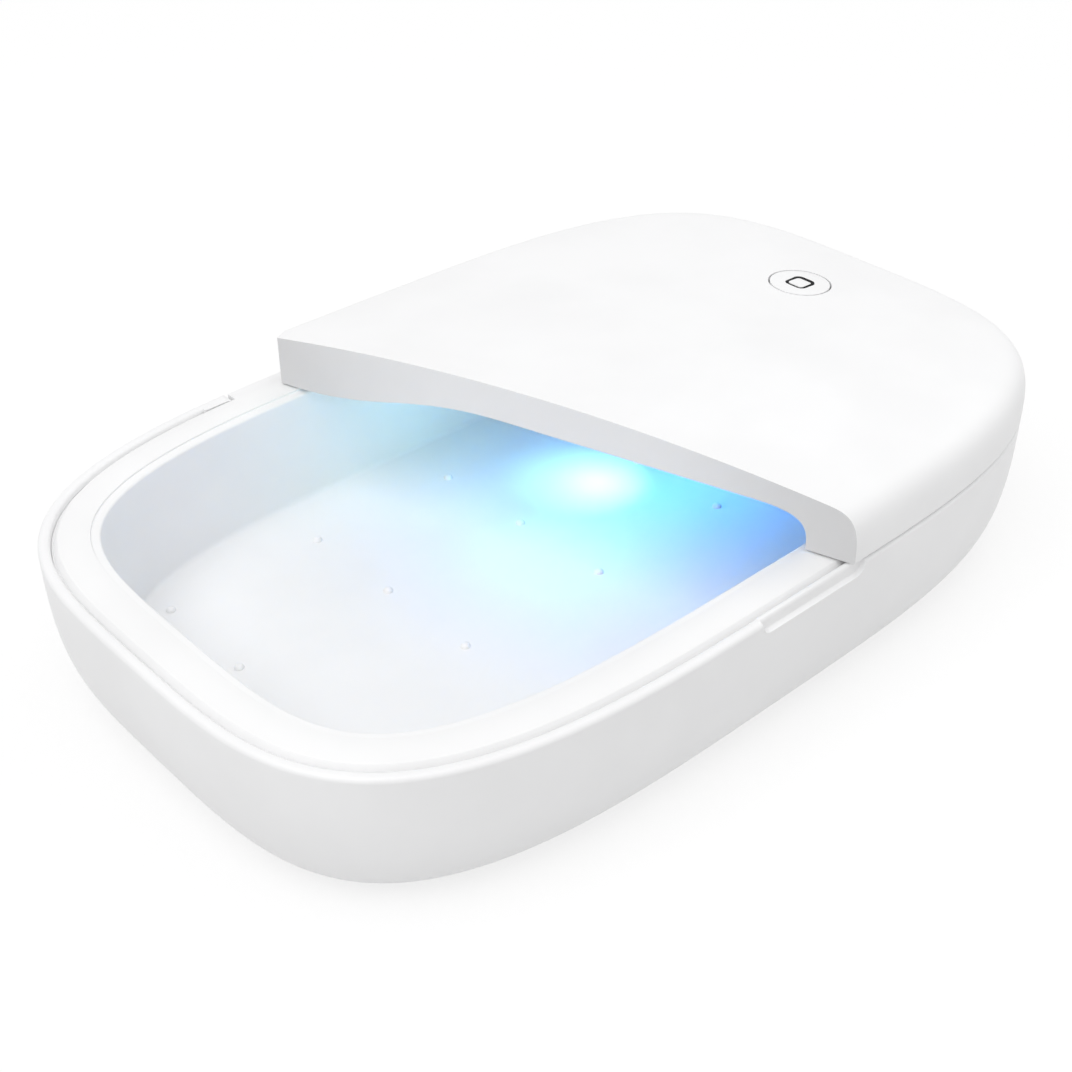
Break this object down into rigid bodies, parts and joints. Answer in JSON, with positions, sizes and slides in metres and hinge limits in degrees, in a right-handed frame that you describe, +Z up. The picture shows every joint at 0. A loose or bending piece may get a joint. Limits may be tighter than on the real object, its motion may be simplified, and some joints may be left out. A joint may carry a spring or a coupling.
{
  "type": "phone sanitizer box",
  "caption": "Oblong white box that sanitizes a phone with ultraviolet light: tub, tray and hinged lid with a push button, the lid sectioned aslant to show the chamber.",
  "frame": {"origin": "middle of the box at the level of the feet's undersides, the bottom centre of the bounding box", "axes": "+Z up; +X along the length towards the end with the button; -Y towards the long side with the thumb notch, +Y towards the hinge"},
  "size_m": [0.198, 0.1302, 0.047],
  "materials": {
    "white_shell": "smooth satin-gloss white moulded plastic",
    "white_tray": "smooth pale white moulded plastic, slightly glossy",
    "section_grey": "plain matt light grey where the lid is sectioned",
    "dark_rubber": "matt dark grey rubber",
    "bright_steel": "plain bright steel",
    "green_board": "green solder-masked circuit board",
    "white_board": "white solder-masked board and nylon",
    "black_plastic": "matt black plastic",
    "amber_package": "amber gold-toned emitter package",
    "silver_package": "grey silver-toned emitter package",
    "ribbon_plastic": "flat ivory ribbon lead"
  },
  "bodies": {
    "base": {"base_shell": "white_shell", "chamber_tray": "white_tray", "foot_front_left": "dark_rubber", "foot_front_right": "dark_rubber", "foot_rear_left": "dark_rubber", "foot_rear_right": "dark_rubber", "case_screw_front_left": "bright_steel", "case_screw_front_right": "bright_steel", "case_screw_rear_left": "bright_steel", "case_screw_rear_right": "bright_steel", "hinge_pin_left": "bright_steel", "hinge_pin_right": "bright_steel", "main_board": "green_board", "power_inlet": "bright_steel", "controller_chip": "black_plastic", "driver_coil": "black_plastic", "lead_header": "white_board", "sensor_board": "green_board", "hall_sensor": "black_plastic"},
    "lid": {"lid_shell": "white_shell", "lid_liner": "white_tray", "section_cover": "section_grey", "led_board": "white_board", "uv_emitter_left": "amber_package", "centre_emitter": "silver_package", "uv_emitter_right": "amber_package", "liner_screw_side_front": "bright_steel", "liner_screw_side_rear": "bright_steel", "liner_screw_end_front": "bright_steel", "liner_screw_end_rear": "bright_steel", "lid_magnet": "bright_steel", "button_board": "green_board", "switch_body": "black_plastic", "lid_harness": "ribbon_plastic"},
    "button": {"button_cap": "white_shell", "button_icon": "black_plastic", "switch_plunger": "white_board"}
  },
  "joints": [
    {"name": "lid_hinge", "type": "hinge", "parent": "base", "child": "lid", "pos_m": [0, 0.0631, 0.02855], "axis": [-1, 0, 0], "range_deg": [0, 95]},
    {"name": "button_press", "type": "slide", "parent": "lid", "child": "button", "axis": [0, 0, -1], "range_m": [0, 0.0004], "stiffness_N_per_m": 1500}
  ]
}
